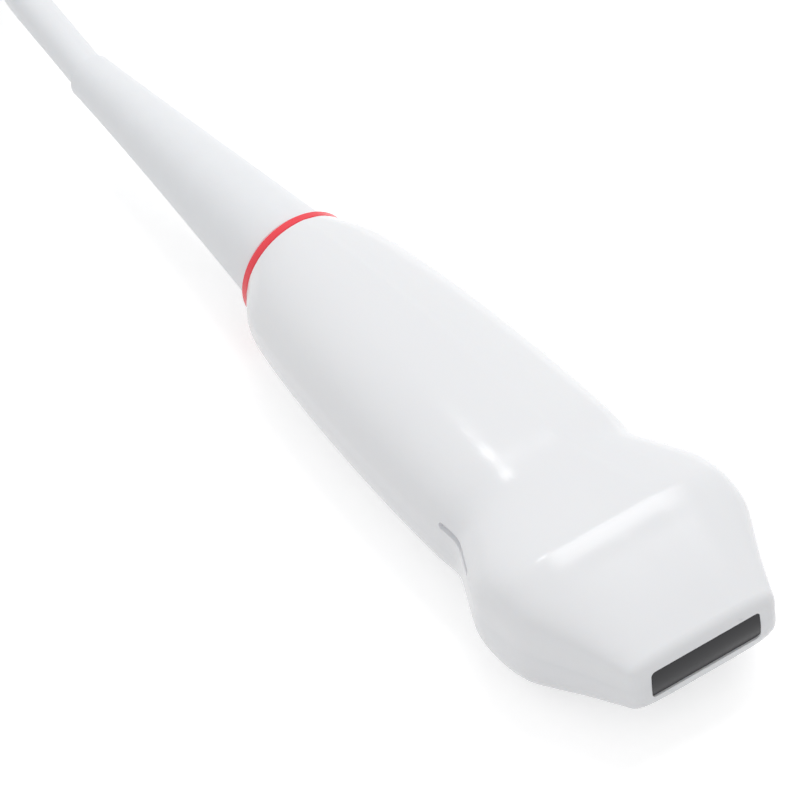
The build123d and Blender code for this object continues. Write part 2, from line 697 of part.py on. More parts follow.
def hank_slot(reach):
    """A long round-ended outline about the hank's middle, reaching out from its end centres."""
    run_start, run_end, first_height = hank_places()
    base = first_height - CABLE_DIAMETER / 2
    return Pos((run_start + run_end) / 2, HANK_Y, base) * SlotOverall(HANK_RUN + 2 * reach, 2 * reach)


def cable_hank():
    """The outer shape of the wound cable, cut away where its two ends come in and leave."""
    run_start, run_end, first_height = hank_places()
    base = first_height - CABLE_DIAMETER / 2
    hole = INNER_TURN_RADIUS - CABLE_DIAMETER / 2 - HANK_ROOM
    wound = extrude(hank_slot(HANK_WIDTH / 2) - hank_slot(hole), HANK_HEIGHT)
    inner_turns = extrude(hank_slot(INNER_TURN_RADIUS + CABLE_DIAMETER / 2), HANK_HEIGHT)
    first_layer = (base, base + TURN_PITCH)
    last_layer = (base + (HANK_LAYERS - 1) * TURN_PITCH - FIT, base + HANK_HEIGHT)
    before_start = (run_start, run_start + HANK_WIDTH)
    past_end = (run_end - HANK_WIDTH, run_end)
    near_side = (HANK_Y, HANK_Y + HANK_WIDTH)
    far_side = (HANK_Y - HANK_WIDTH, HANK_Y)
    wound -= block(before_start, near_side, first_layer) - inner_turns
    wound -= block(past_end, near_side, last_layer) - inner_turns
    wound -= block((past_end[0], run_start), far_side, last_layer) - inner_turns
    return wound


def hank_tie():
    """The strap round the middle of the hank, drawn over the corner that the last turn leaves."""
    run_start, run_end, first_height = hank_places()
    base = first_height - CABLE_DIAMETER / 2
    x = (run_start + run_end) / 2
    plane = Plane(origin=(x - TIE_WIDTH / 2, HANK_Y, base), x_dir=(0, 1, 0), z_dir=(1, 0, 0))
    side = HANK_WIDTH / 2 + FIT
    top = HANK_HEIGHT + FIT
    corner = [(TURN_PITCH - side, top), (-side, top - TURN_PITCH)]
    inner = make_face(Polyline((-side, -FIT), (side, -FIT), (side, top), *corner, close=True))
    return extrude(plane * (offset(inner, TIE_THICKNESS - FIT) - inner), TIE_WIDTH)


def hank_exit():
    """The point where the cable leaves the hank's last run."""
    run_start, run_end, first_height = hank_places()
    height = first_height + (HANK_LAYERS - 1) * TURN_PITCH
    return Vector(run_end, HANK_Y + OUTER_TURN_RADIUS, height)


ENTRY = hank_exit() + Vector(*TO_PLUG[-1])
PLUG_FRONT_X = ENTRY.X - PLUG_BOOT_LENGTH
PLUG_X = PLUG_FRONT_X - PLUG_LENGTH / 2
PLUG_Y = HANK_Y


def plug_outline(inset):
    """The connector's plan outline, drawn in by an inset."""
    return RectangleRounded(PLUG_LENGTH - 2 * inset, PLUG_WIDTH - 2 * inset, PLUG_CORNER - inset)


def plug_prism(outline, low, high):
    """A plan outline about the connector's middle, carried between two heights."""
    return extrude(Pos(PLUG_X, PLUG_Y, low) * outline, high - low)


def boss_places():
    """Centres of the four corner bosses, about the connector's middle."""
    x = PLUG_LENGTH / 2 - BOSS_INSET
    y = PLUG_WIDTH / 2 - BOSS_INSET
    return [(sx * x, sy * y) for sx in (-1, 1) for sy in (-1, 1)]


def boot_bore(radius, front, back):
    """A round bar along the connector's cable entry, between two x positions."""
    plane = Plane(origin=(back, ENTRY.Y, ENTRY.Z), x_dir=(0, 1, 0), z_dir=(1, 0, 0))
    return extrude(plane * Circle(radius), front - back)


def connector_base():
    """The skirt that goes over the console's socket, with the deck that carries the contacts."""
    base = plug_prism(plug_outline(0), 0, DECK_TOP)
    base -= plug_prism(plug_outline(PLUG_WALL), 0, SKIRT_DEPTH)
    base -= plug_prism(Circle(SHAFT_DIAMETER / 2 + SHAFT_CLEARANCE), SKIRT_DEPTH, DECK_TOP)
    for x, y in boss_places():
        base -= plug_prism(Pos(x, y) * Circle(SCREW_DIAMETER / 2 + FIT), SKIRT_DEPTH, DECK_TOP)
    return base


def connector_cover():
    """The drafted cover over the deck, with screw bosses, a cable port and a bush hole."""
    inner_top = COVER_TOP - PLUG_WALL
    cover = loft([
        Pos(PLUG_X, PLUG_Y, DECK_TOP) * plug_outline(0),
        Pos(PLUG_X, PLUG_Y, COVER_TOP) * plug_outline(COVER_DRAFT),
    ])
    cover = fillet(cover.faces().sort_by(Axis.Z)[-1].edges(), COVER_EDGE_RADIUS)
    cover -= loft([
        Pos(PLUG_X, PLUG_Y, DECK_TOP) * plug_outline(PLUG_WALL),
        Pos(PLUG_X, PLUG_Y, inner_top) * plug_outline(PLUG_WALL + COVER_DRAFT),
    ])
    for x, y in boss_places():
        cover += plug_prism(Pos(x, y) * Circle(BOSS_DIAMETER / 2), DECK_TOP, inner_top)
    for x, y in boss_places():
        pilot = Pos(x, y) * Circle(SCREW_DIAMETER / 2 + FIT)
        cover -= plug_prism(pilot, DECK_TOP, DECK_TOP + SCREW_LENGTH)
    cover -= plug_prism(Circle(BUSH_DIAMETER / 2 + FIT), inner_top, COVER_TOP)
    inside = PLUG_FRONT_X - PLUG_WALL - COVER_DRAFT
    cover += boot_bore(PLUG_BOOT_BASE_DIAMETER / 2, PLUG_FRONT_X, inside)
    return cover - boot_bore(PLUG_BOOT_TIP_DIAMETER / 2 + FIT, PLUG_FRONT_X, inside)


def contact_block():
    """The insulator under the deck, open in the middle for the lock bar."""
    outline = RectangleRounded(CONTACT_BLOCK_LENGTH, CONTACT_BLOCK_WIDTH, RIB)
    outline -= Circle(LOCK_BAR_LENGTH / 2 + LOCK_ROOM)
    return plug_prism(outline, CONTACT_FACE, SKIRT_DEPTH)


def contact_pins():
    """Two fields of square contacts, one each side of the lock."""
    clear = LOCK_BAR_LENGTH / 2 + LOCK_ROOM + CONTACT_SIZE
    pins = []
    for side in (-1, 1):
        for column in range(CONTACTS_PER_SIDE):
            for row in range(CONTACT_ROWS):
                x = PLUG_X + side * (clear + column * CONTACT_COLUMN_PITCH)
                y = PLUG_Y + (row - (CONTACT_ROWS - 1) / 2) * CONTACT_ROW_PITCH
                z = (CONTACT_FACE + CONTACT_END) / 2
                pins.append(Pos(x, y, z) * Box(CONTACT_SIZE, CONTACT_SIZE, CONTACT_LENGTH))
    return Compound(pins)


def connector_board():
    """The board that carries the cable's cores to the contacts."""
    outline = RectangleRounded(PLUG_BOARD_LENGTH, PLUG_BOARD_WIDTH, RIB)
    outline -= Circle(SHAFT_DIAMETER / 2 + LOCK_ROOM)
    return plug_prism(outline, DECK_TOP, DECK_TOP + PLUG_BOARD_THICKNESS)


def connector_screws():
    """The four screws up through the deck into the cover's bosses."""
    return Compound([screw(PLUG_X + x, PLUG_Y + y, SKIRT_DEPTH, -1) for x, y in boss_places()])


def connector_boot():
    """The short boot on the cable's entry, trapped in the cover's port."""
    inside = PLUG_FRONT_X - PLUG_WALL - COVER_DRAFT
    plane = Plane(origin=(PLUG_FRONT_X, ENTRY.Y, ENTRY.Z), x_dir=(0, 1, 0), z_dir=(1, 0, 0))
    boot = loft([
        plane * Circle(PLUG_BOOT_BASE_DIAMETER / 2),
        plane.offset(PLUG_BOOT_LENGTH) * Circle(PLUG_BOOT_TIP_DIAMETER / 2),
    ])
    boot += boot_bore(PLUG_BOOT_TIP_DIAMETER / 2, PLUG_FRONT_X, inside)
    flange_radius = (PLUG_BOOT_BASE_DIAMETER - PLUG_BOOT_FLANGE) / 2
    boot += boot_bore(flange_radius, inside, inside - PLUG_BOOT_FLANGE)
    return boot - boot_bore(CABLE_DIAMETER / 2 + FIT, ENTRY.X, inside - PLUG_BOOT_FLANGE)


def cable_plug_end():
    """The cable's other end, through the connector's boot."""
    return boot_bore(CABLE_DIAMETER / 2, ENTRY.X, PLUG_FRONT_X - PLUG_TAIL)


def connector_coax_fan():
    """The cores inside the connector, fanned down to its board."""
    start = Plane(origin=(PLUG_FRONT_X - PLUG_TAIL, ENTRY.Y, ENTRY.Z), x_dir=(0, 1, 0), z_dir=(1, 0, 0))
    end_x = PLUG_X + PLUG_BOARD_LENGTH / 2 - FAN_LENGTH
    end_z = DECK_TOP + PLUG_BOARD_THICKNESS + FAN_THICKNESS / 2
    end = Plane(origin=(end_x, ENTRY.Y, end_z), x_dir=(0, 1, 0), z_dir=(1, 0, 0))
    return loft([start * Circle(CORE_DIAMETER / 2), end * Rectangle(PLUG_BOARD_WIDTH / 3, FAN_THICKNESS)])


def shaft_bush():
    """The flanged bush in the cover's top."""
    outline = Circle(BUSH_DIAMETER / 2)
    flange = Circle(BUSH_FLANGE_DIAMETER / 2)
    low = COVER_TOP - PLUG_WALL
    bush = plug_prism(outline, low, COVER_TOP) + plug_prism(flange, COVER_TOP, BUSH_TOP)
    return bush - plug_prism(Circle(SHAFT_DIAMETER / 2 + SHAFT_CLEARANCE), low, BUSH_TOP)


def lock_shaft():
    """The lock's shaft, with the cross bar that turns behind the console's keeper."""
    shaft = plug_prism(Circle(SHAFT_DIAMETER / 2), CONTACT_END, KNOB_BASE + KNOB_DISC_HEIGHT)
    bar = SlotOverall(LOCK_BAR_LENGTH, LOCK_BAR_WIDTH)
    shaft += plug_prism(bar, CONTACT_END, CONTACT_END + LOCK_BAR_HEIGHT)
    bore = Circle(SCREW_DIAMETER / 2 + FIT)
    top = KNOB_BASE + KNOB_DISC_HEIGHT
    return shaft - plug_prism(bore, top - SCREW_LENGTH, top)


def shaft_clip():
    """The clip that keeps the shaft up under the deck."""
    ring = Circle(CLIP_DIAMETER / 2) - Circle(SHAFT_DIAMETER / 2 + FIT)
    top = SKIRT_DEPTH - RUNNING_GAP
    return plug_prism(ring, top - CLIP_THICKNESS, top)


def lock_knob():
    """The turning knob: a disc with a raised grip across it and a sunk screw."""
    disc_top = KNOB_BASE + KNOB_DISC_HEIGHT
    knob = plug_prism(Circle(KNOB_DIAMETER / 2), KNOB_BASE, disc_top)
    knob += plug_prism(SlotOverall(KNOB_GRIP_LENGTH, KNOB_GRIP_WIDTH), KNOB_BASE, KNOB_TOP)
    knob = fillet(knob.faces().sort_by(Axis.Z)[-1].edges(), KNOB_EDGE_RADIUS)
    knob -= plug_prism(Circle(SHAFT_DIAMETER / 2 + FIT), KNOB_BASE, disc_top)
    return knob - plug_prism(Circle(SCREW_HEAD_DIAMETER / 2 + SLIDE), disc_top, KNOB_TOP)


def knob_screw():
    """The screw down through the knob into the shaft."""
    return screw(PLUG_X, PLUG_Y, KNOB_BASE + KNOB_DISC_HEIGHT, 1)


housing_top, housing_bottom = housing()
probe_run = cable_tube(boot_point(1), TO_HANK)
plug_run = cable_tube(hank_exit(), TO_PLUG)
pieces = {
    "housing_top": housing_top,
    "housing_bottom": housing_bottom,
    "marker_ring": marker_ring(),
    "strain_relief": strain_relief(),
    "acoustic_lens": acoustic_lens(),
    "matching_layer_outer": matching_layer(LENS_BACK),
    "matching_layer_inner": matching_layer(LENS_BACK + MATCHING_THICKNESS),
    "element_array": element_array(),
    "backing_block": backing_block(),
    "array_carrier": array_carrier(),
    "flex_circuit_top": flex_circuit(1),
    "flex_circuit_bottom": flex_circuit(-1),
    "flex_sockets": flex_sockets(),
    "interconnect_board": interconnect_board(),
    "tuning_coils": tuning_coils(),
    "signal_chips": signal_chips(),
    "shield_sleeve": shield_sleeve(),
    "coax_fan": coax_fan(),
    "cable_clamp": cable_clamp(),
    "clamp_screws": Compound([screw(x, y, AXIS_Z + CLAMP_HEIGHT, 1) for x, y in clamp_screw_places()]),
    "cable_end": cable_end(),
    "cable_probe_run": probe_run,
    "cable_hank": cable_hank(),
    "hank_tie": hank_tie(),
    "cable_plug_run": plug_run,
    "cable_plug_end": cable_plug_end(),
    "connector_boot": connector_boot(),
    "connector_base": connector_base(),
    "connector_cover": connector_cover(),
    "connector_screws": connector_screws(),
    "contact_block": contact_block(),
    "contact_pins": contact_pins(),
    "connector_board": connector_board(),
    "connector_coax_fan": connector_coax_fan(),
    "shaft_bush": shaft_bush(),
    "lock_shaft": lock_shaft(),
    "shaft_clip": shaft_clip(),
    "lock_knob": lock_knob(),
    "knob_screw": knob_screw(),
}

os.makedirs("parts", exist_ok=True)
for name, piece in pieces.items():
    export_step(piece, f"parts/{name}.step")
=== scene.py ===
import logging
import math
from dataclasses import dataclass
from enum import Enum
from typing import Any, Optional, Sequence

import bpy
from mathutils import Matrix, Vector


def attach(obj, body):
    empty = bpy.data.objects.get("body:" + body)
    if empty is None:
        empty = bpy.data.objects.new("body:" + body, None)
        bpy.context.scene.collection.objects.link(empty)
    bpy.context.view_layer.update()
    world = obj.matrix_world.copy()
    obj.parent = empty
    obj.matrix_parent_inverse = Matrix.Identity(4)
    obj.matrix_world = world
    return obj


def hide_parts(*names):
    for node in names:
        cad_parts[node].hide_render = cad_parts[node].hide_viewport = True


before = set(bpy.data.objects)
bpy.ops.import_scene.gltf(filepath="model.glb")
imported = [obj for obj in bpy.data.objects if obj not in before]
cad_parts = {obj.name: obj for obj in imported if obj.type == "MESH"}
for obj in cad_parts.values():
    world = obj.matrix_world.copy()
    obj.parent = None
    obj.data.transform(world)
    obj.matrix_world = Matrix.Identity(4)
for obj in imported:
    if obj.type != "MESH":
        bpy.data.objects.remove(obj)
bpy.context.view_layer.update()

LOG = logging.getLogger("probe")
MM = 0.001
# Edges that turn by less than this are shaded smooth.
SMOOTH_BELOW = math.radians(35.0)
# A face counts as flat where its normal rises or falls by more than this.
FLAT = 0.99
# Light goes further into white plastic at the red end than at the blue end.
SCATTER_MM = (1.5, 1.2, 1.0)
# Colour and gloss drift over patches that are this many grains wide.
GRAINS_PER_PATCH = 9.0
# How far yarns and tool marks stray from straight.
YARN_WANDER = 0.4
TOOL_WANDER = 2.0
# The gap between the cells of a printed circuit, in grains.
TRACK_GAP = 0.08


def linear(code: str) -> tuple[float, float, float, float]:
    """Turns an sRGB hex colour into linear values.

    Args:
        code: Six hex digits after a hash.

    Returns:
        Red, green, blue and an alpha of one.
    """
    parts = [int(code[start:start + 2], 16) / 255 for start in (1, 3, 5)]
    values = [
        part / 12.92 if part <= 0.04045 else ((part + 0.055) / 1.055) ** 2.4 for part in parts
    ]
    return (values[0], values[1], values[2], 1.0)


def add_node(
    tree: bpy.types.NodeTree,
    kind: str,
    values: Optional[dict[Any, Any]] = None,
    links: Optional[dict[Any, bpy.types.NodeSocket]] = None,
    **settings: Any,
) -> bpy.types.Node:
    """Adds one node with its settings, values and links.

    Args:
        tree: The node tree that gets the node.
        kind: The node's type name.
        values: Default values by input name or number.
        links: Output sockets to link, by input name or number.
        **settings: Properties of the node itself.

    Returns:
        The new node.
    """
    node = tree.nodes.new(kind)
    for name, value in settings.items():
        setattr(node, name, value)
    for key, value in (values or {}).items():
        node.inputs[key].default_value = value
    for key, socket in (links or {}).items():
        tree.links.new(socket, node.inputs[key])
    return node


def select_only(thing: Optional[bpy.types.Object] = None) -> None:
    """Deselects everything, then selects one object and makes it active.

    Args:
        thing: The object to select, or None to leave nothing selected.
    """
    if bpy.context.mode != "OBJECT":
        bpy.ops.object.mode_set(mode="OBJECT")
    bpy.ops.object.select_all(action="DESELECT")
    if thing is not None:
        thing.select_set(True)
        bpy.context.view_layer.objects.active = thing


def apply_modifier(thing: bpy.types.Object, kind: str, **settings: Any) -> None:
    """Adds a modifier to a piece and applies it.

    Args:
        thing: The piece.
        kind: The modifier's type name.
        **settings: Properties of the modifier.
    """
    select_only(thing)
    modifier = thing.modifiers.new(kind.lower(), kind)
    for name, value in settings.items():
        setattr(modifier, name, value)
    bpy.ops.object.modifier_apply(modifier=modifier.name)


class Surface(Enum):
    """How a surface was made, which sets the pattern that it carries."""

    POLISHED = "moulded in a polished tool"
    TEXTURED = "moulded in an eroded tool"
    EXTRUDED = "drawn through a die"
    TURNED = "turned or drawn metal"
    WOVEN = "woven tape"
    PRINTED = "printed circuit"


@dataclass(frozen=True)
class Finish:
    """One material: what it is, how its surface was made and what that gives the eye.

    Attributes:
        name: The material's common name.
        surface: How its surface was made.
        colour: Its colour as sRGB hex.
        shade: The colour that it drifts to in patches or along its pattern.
        roughness: Lowest and highest roughness across the surface.
        grain_mm: The size of the surface's pattern.
        relief_mm: The height of that pattern.
        ior: Refractive index, or None on a metal.
        sheen: Weight of a soft fibre sheen.
        glow: Weight of light scattered below the skin.
    """

    name: str
    surface: Surface
    colour: str
    shade: str
    roughness: tuple[float, float]
    grain_mm: float
    relief_mm: float
    ior: Optional[float] = 1.5
    sheen: float = 0.0
    glow: float = 0.0

    def material(self) -> bpy.types.Material:
        """Builds the material once and hands back the same one after that.

        Returns:
            The material with its node tree.
        """
        made = bpy.data.materials.get(self.name)
        if made is not None:
            return made
        made = bpy.data.materials.new(self.name)
        made.use_nodes = True
        tree = made.node_tree
        tree.nodes.clear()
        shader = add_node(tree, "ShaderNodeBsdfPrincipled")
        if self.ior is None:
            shader.inputs["Metallic"].default_value = 1.0
        else:
            shader.inputs["IOR"].default_value = self.ior
        shader.inputs["Sheen Weight"].default_value = self.sheen
        shader.inputs["Subsurface Weight"].default_value = self.glow
        shader.inputs["Subsurface Radius"].default_value = [reach * MM for reach in SCATTER_MM]
        shader.inputs["Subsurface Scale"].default_value = 1.0
        self.lay_pattern(tree, shader)
        add_node(tree, "ShaderNodeOutputMaterial", links={"Surface": shader.outputs["BSDF"]})
        return made

    def lay_pattern(self, tree: bpy.types.NodeTree, shader: bpy.types.Node) -> None:
        """Links colour, roughness and relief from the surface's own pattern.

        Args:
            tree: The material's node tree.
            shader: Its Principled shader.
        """
        place = add_node(tree, "ShaderNodeTexCoord").outputs["Object"]
        per_metre = 1.0 / (self.grain_mm * MM)
        height = self.height(tree, place, per_metre)
        patches = add_node(
            tree,
            "ShaderNodeTexNoise",
            {"Scale": per_metre / GRAINS_PER_PATCH, "Detail": 3.0},
            {"Vector": place},
        ).outputs["Fac"]
        even = (Surface.POLISHED, Surface.TEXTURED, Surface.EXTRUDED)
        blend = patches if self.surface in even else height
        tint = add_node(
            tree,
            "ShaderNodeMix",
            {6: linear(self.colour), 7: linear(self.shade)},
            {0: blend},
            data_type="RGBA",
        )
        tree.links.new(tint.outputs[2], shader.inputs["Base Color"])
        rough = add_node(
            tree,
            "ShaderNodeMapRange",
            {"To Min": self.roughness[0], "To Max": self.roughness[1]},
            {"Value": patches},
        )
        tree.links.new(rough.outputs["Result"], shader.inputs["Roughness"])
        bump = add_node(
            tree,
            "ShaderNodeBump",
            {"Strength": 1.0, "Distance": self.relief_mm * MM},
            {"Height": height},
        )
        tree.links.new(bump.outputs["Normal"], shader.inputs["Normal"])

    def height(
        self, tree: bpy.types.NodeTree, place: bpy.types.NodeSocket, per_metre: float
    ) -> bpy.types.NodeSocket:
        """The relief that the way of making leaves behind.

        Args:
            tree: The material's node tree.
            place: Object coordinates.
            per_metre: How many grains fit in a metre.

        Returns:
            A socket with the height from nought to one.
        """
        # A wave texture of scale one repeats every pi / 10 metres: this gives one band per grain.
        bands = per_metre * math.pi / 10
        if self.surface is Surface.WOVEN:
            # Turned by 45 degrees about X, the weft crosses both the strap's top and its sides.
            turned = add_node(
                tree,
                "ShaderNodeMapping",
                {"Rotation": (math.radians(-45.0), 0.0, 0.0)},
                {"Vector": place},
            )
            waves = []
            for direction, scale in (("X", bands), ("Y", bands * math.sqrt(2.0))):
                wave = add_node(
                    tree,
                    "ShaderNodeTexWave",
                    {"Scale": scale, "Distortion": YARN_WANDER, "Detail": 1.0},
                    {"Vector": turned.outputs["Vector"]},
                    bands_direction=direction,
                )
                waves.append(wave.outputs["Fac"])
            crossed = add_node(
                tree, "ShaderNodeMath", links={0: waves[0], 1: waves[1]}, operation="MAXIMUM"
            )
            return crossed.outputs["Value"]
        if self.surface is Surface.TURNED:
            wave = add_node(
                tree,
                "ShaderNodeTexWave",
                {"Scale": bands, "Distortion": TOOL_WANDER, "Detail": 2.0},
                {"Vector": place},
                wave_type="RINGS",
                rings_direction="Z",
            )
            return wave.outputs["Fac"]
        if self.surface is Surface.PRINTED:
            cells = add_node(
                tree,
                "ShaderNodeTexBrick",
                {"Scale": per_metre, "Mortar Size": TRACK_GAP},
                {"Vector": place},
            )
            return cells.outputs["Fac"]
        detail = 1.0 if self.surface is Surface.POLISHED else 4.0
        noise = add_node(
            tree, "ShaderNodeTexNoise", {"Scale": per_metre, "Detail": detail}, {"Vector": place}
        )
        return noise.outputs["Fac"]


# White ABS from a polished tool: an even, faintly cool white under a clear gloss, with the
# slow ripple that a moulded wall keeps.
WHITE_ABS = Finish(
    "polished white ABS", Surface.POLISHED, "#F0F1F3", "#EDEEF1", (0.14, 0.18), 3.0, 0.003, 1.53,
    glow=0.1,
)
# Red ABS ring: a clear strong red with nearly the same gloss.
RED_ABS = Finish(
    "red ABS", Surface.POLISHED, "#F8404E", "#F23A49", (0.2, 0.26), 2.0, 0.003, 1.53, glow=0.1
)
# White thermoplastic rubber: softer gloss than the shells, from a finely eroded tool. The
# grit is drawn about three times coarser than it is, so that it shows.
WHITE_TPR = Finish(
    "white thermoplastic rubber", Surface.TEXTURED, "#EEF0F3", "#EAECEF", (0.34, 0.42), 0.5, 0.006,
    1.5, glow=0.1,
)
# White PVC jacket: drawn through a die, with a slightly uneven satin skin.
WHITE_PVC = Finish(
    "white PVC jacket", Surface.EXTRUDED, "#EEF0F3", "#E9EBEE", (0.32, 0.42), 1.6, 0.012, 1.53,
    glow=0.1,
)
# Dark silicone lens: near black, satin, with a very fine skin.
DARK_SILICONE = Finish(
    "dark silicone rubber", Surface.POLISHED, "#2E2E31", "#2A2A2D", (0.3, 0.38), 1.0, 0.002, 1.41
)
# Filled epoxy of the matching layers: a dull brown grey with powder in it, drawn coarser than
# the powder is.
EPOXY = Finish(
    "filled epoxy", Surface.TEXTURED, "#5A5148", "#4E463F", (0.5, 0.6), 0.4, 0.01, 1.55
)
# Fired piezo ceramic: a matt sand colour with a sintered grain, drawn coarser than it is.
CERAMIC = Finish(
    "fired piezo ceramic", Surface.TEXTURED, "#B8AD95", "#A89E88", (0.45, 0.55), 0.3, 0.006, 1.9
)
# Tungsten loaded epoxy: near black and matt, with heavy grains in it, drawn coarser than they are.
LOADED_EPOXY = Finish(
    "tungsten loaded epoxy", Surface.TEXTURED, "#2B2B2C", "#343436", (0.55, 0.7), 0.5, 0.02
)
# Black nylon: a soft black with the fine grit of an eroded tool, drawn about three times coarser.
BLACK_NYLON = Finish(
    "black moulded nylon", Surface.TEXTURED, "#1D1D1F", "#242427", (0.42, 0.52), 0.6, 0.01, 1.53
)
# Polyimide film: smooth amber with a clear shine.
POLYIMIDE = Finish(
    "polyimide film", Surface.POLISHED, "#B06A1E", "#A35F19", (0.25, 0.32), 2.0, 0.002, 1.7
)
# Solder mask on glass epoxy: a satin green in cells about half a millimetre wide, which stand
# for its tracks.
SOLDER_MASK = Finish(
    "solder masked glass epoxy", Surface.PRINTED, "#0F5A32", "#17703F", (0.3, 0.4), 1.2, 0.03
)
# Tin plated copper sheet: a pale silver with faint drawing marks, drawn coarser than they are.
TINPLATE = Finish(
    "tin plated copper sheet", Surface.TURNED, "#C9C9C8", "#BDBDBC", (0.25, 0.35), 0.6, 0.002, None
)
# Nickel plated steel: a warm silver with fine turning marks, drawn coarser than they are.
STEEL = Finish(
    "nickel plated steel", Surface.TURNED, "#BDBCB8", "#B0AFAB", (0.22, 0.32), 0.4, 0.003, None
)
# Bundled copper cores: a metal that drifts from copper to brown, with the uneven skin of
# strands under a millimetre thick.
COPPER_CORES = Finish(
    "bundled copper cores", Surface.EXTRUDED, "#B87A4B", "#8F5C38", (0.35, 0.5), 0.7, 0.08, None
)
# Gold plated contacts: a bright yellow metal, almost smooth.
GOLD = Finish(
    "gold plated contacts", Surface.TURNED, "#E2B661", "#D8AB55", (0.2, 0.28), 0.4, 0.001, None
)
# Woven nylon tape: matt black yarns crossing about every millimetre, with a soft fibre sheen.
WEBBING = Finish(
    "woven nylon tape", Surface.WOVEN, "#1B1B1D", "#2C2C30", (0.75, 0.9), 1.1, 0.18, 1.53,
    sheen=0.25,
)
# Sewing thread: grey polyester that stands out a little from the tape.
THREAD = Finish(
    "polyester thread", Surface.EXTRUDED, "#6A6B6F", "#5A5B5F", (0.6, 0.75), 0.4, 0.03, 1.55,
    sheen=0.2,
)
# Grey ABS knob: an even mid grey with a matt grit that hides finger marks, drawn coarser.
GREY_ABS = Finish(
    "grey textured ABS", Surface.TEXTURED, "#8C8E90", "#868889", (0.4, 0.5), 0.7, 0.015, 1.53
)
# Dark grey ABS skirt: the same grit on a darker resin.
DARK_ABS = Finish(
    "dark grey textured ABS", Surface.TEXTURED, "#4A4B4E", "#444548", (0.42, 0.52), 0.7, 0.015, 1.53
)


@dataclass(frozen=True)
class Lamp:
    """One soft lamp, hung with its first side along the array.

    Attributes:
        name: The lamp's name.
        spot: Where it hangs, in metres.
        aim: The point that it faces.
        sides: Its sides in metres, along the array and across it.
        power: Its power in watts.
        mirrored: Whether glossy surfaces show it.
    """

    name: str
    spot: tuple[float, float, float]
    aim: tuple[float, float, float]
    sides: tuple[float, float]
    power: float
    mirrored: bool = True

    def hang(self) -> None:
        """Adds the lamp and turns it to its aim."""
        select_only()
        bpy.ops.object.light_add(type="AREA", location=self.spot)
        lamp = bpy.context.object
        lamp.name = self.name
        lamp.data.shape = "RECTANGLE"
        lamp.data.size, lamp.data.size_y = self.sides
        lamp.data.energy = self.power
        lamp.visible_glossy = self.mirrored
        back = (Vector(self.spot) - Vector(self.aim)).normalized()
        array = Vector((0, 1, 0))
        along = (array - back * array.dot(back)).normalized()
        lamp.rotation_euler = Matrix((along, back.cross(along), back)).transposed().to_euler()


HEAD_MIDDLE = (0.06, 0.0, 0.025)
WAIST_TOP = (0.042, 0.0, 0.025)
# Two large softboxes light the shells without a mirror image in their gloss. The other two
# give the band along the head's ridge and the short streak at the waist.
LAMPS = (
    Lamp("back softbox", (-0.41, 0.68, 1.03), HEAD_MIDDLE, (1.0, 0.7), 4.4, mirrored=False),
    Lamp("fill softbox", (0.5, -0.9, 0.8), HEAD_MIDDLE, (0.9, 0.9), 1.8, mirrored=False),
    Lamp("ridge softbox", (-0.28, 0.45, 1.135), HEAD_MIDDLE, (0.44, 0.46), 2.0),
    Lamp("grip lamp", (-0.57, 0.19, 1.085), WAIST_TOP, (0.1, 0.12), 0.3),
)


